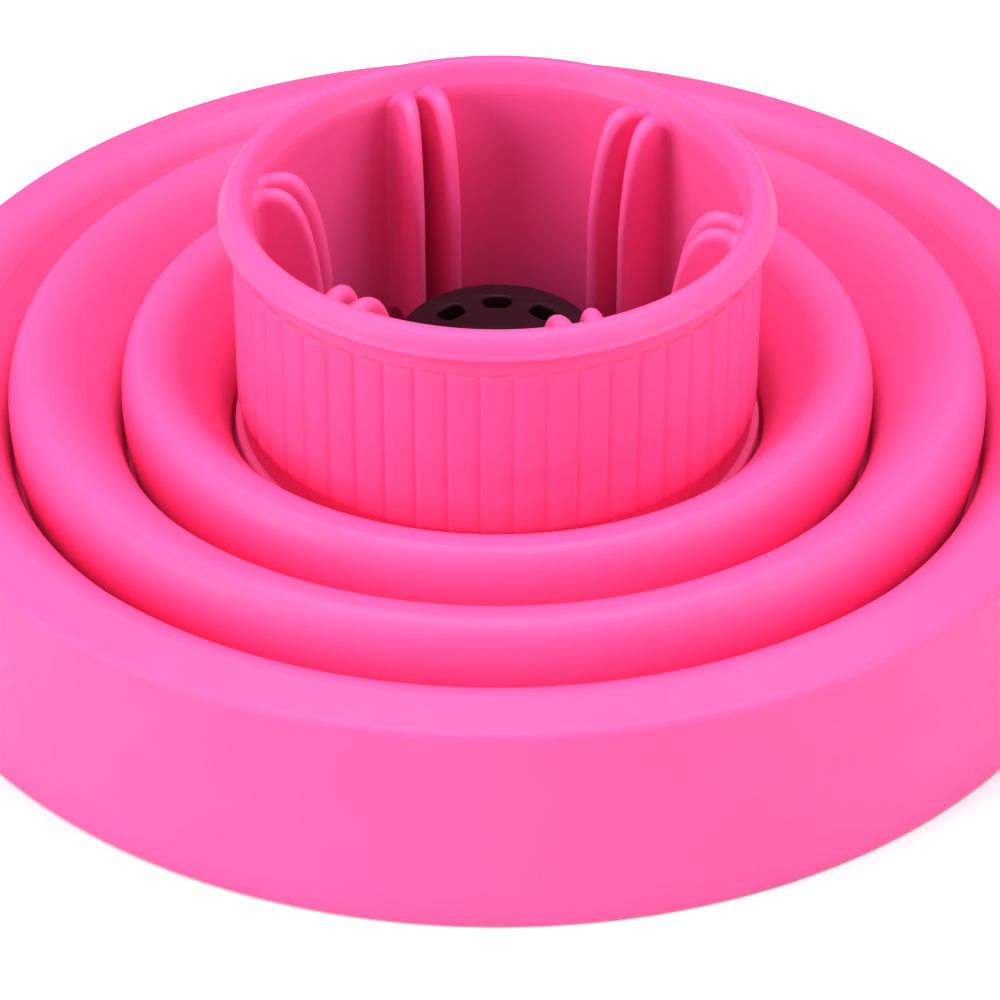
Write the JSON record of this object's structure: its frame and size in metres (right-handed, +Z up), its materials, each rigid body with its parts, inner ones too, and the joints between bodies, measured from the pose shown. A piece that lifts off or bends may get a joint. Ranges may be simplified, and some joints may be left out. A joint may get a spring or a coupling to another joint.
{
  "type": "dryer diffuser",
  "caption": "Collapsible silicone hair-dryer diffuser: tall rim, nested folding rings, fluted collar with grip fins, and a slotted plastic grille.",
  "frame": {"origin": "centre of the rim's bottom edge, where the diffuser stands with its collar up", "axes": "+Z up the air axis, from the hair side towards the nozzle collar; -Y is the side the reference view looks at"},
  "size_m": [0.1458, 0.1458, 0.0483],
  "materials": {
    "silicone": "satin moulded silicone",
    "grille_plastic": "matte moulded"
  },
  "bodies": {
    "rim": {"rim_wall": "silicone", "rim_crest": "silicone", "rim_hem": "silicone", "outer_fold": "silicone", "grille_frame": "grille_plastic", "grille_hub": "grille_plastic", "grille_panel_1": "grille_plastic", "grille_panel_2": "grille_plastic", "grille_panel_3": "grille_plastic", "grille_panel_4": "grille_plastic", "grille_panel_5": "grille_plastic", "grille_panel_6": "grille_plastic", "grille_rib_1": "grille_plastic", "grille_rib_2": "grille_plastic", "grille_rib_3": "grille_plastic", "grille_rib_4": "grille_plastic", "grille_rib_5": "grille_plastic", "grille_rib_6": "grille_plastic", "guide_tower": "grille_plastic", "guide_cap": "grille_plastic"},
    "middle": {"middle_wall": "silicone", "middle_shoulder": "silicone", "middle_crest": "silicone", "middle_fold": "silicone"},
    "inner": {"inner_wall": "silicone", "inner_shoulder": "silicone", "inner_crest": "silicone", "inner_fold": "silicone"},
    "collar": {"collar_foot": "silicone", "collar_sleeve": "silicone", "collar_lip": "silicone", "grip_fin_1a": "silicone", "grip_fin_1b": "silicone", "grip_fin_2a": "silicone", "grip_fin_2b": "silicone", "grip_fin_3a": "silicone", "grip_fin_3b": "silicone", "grip_fin_4a": "silicone", "grip_fin_4b": "silicone", "grip_fin_5a": "silicone", "grip_fin_5b": "silicone", "grip_fin_6a": "silicone", "grip_fin_6b": "silicone"}
  },
  "joints": [
    {"name": "outer_fold_open", "type": "slide", "parent": "rim", "child": "middle", "axis": [0, 0, 1], "range_m": [0, 0.0204], "deforming": ["outer_fold"]},
    {"name": "middle_fold_open", "type": "slide", "parent": "middle", "child": "inner", "axis": [0, 0, 1], "range_m": [0, 0.0204], "deforming": ["middle_fold"]},
    {"name": "inner_fold_open", "type": "slide", "parent": "inner", "child": "collar", "axis": [0, 0, 1], "range_m": [0, 0.0242], "deforming": ["inner_fold"]}
  ]
}
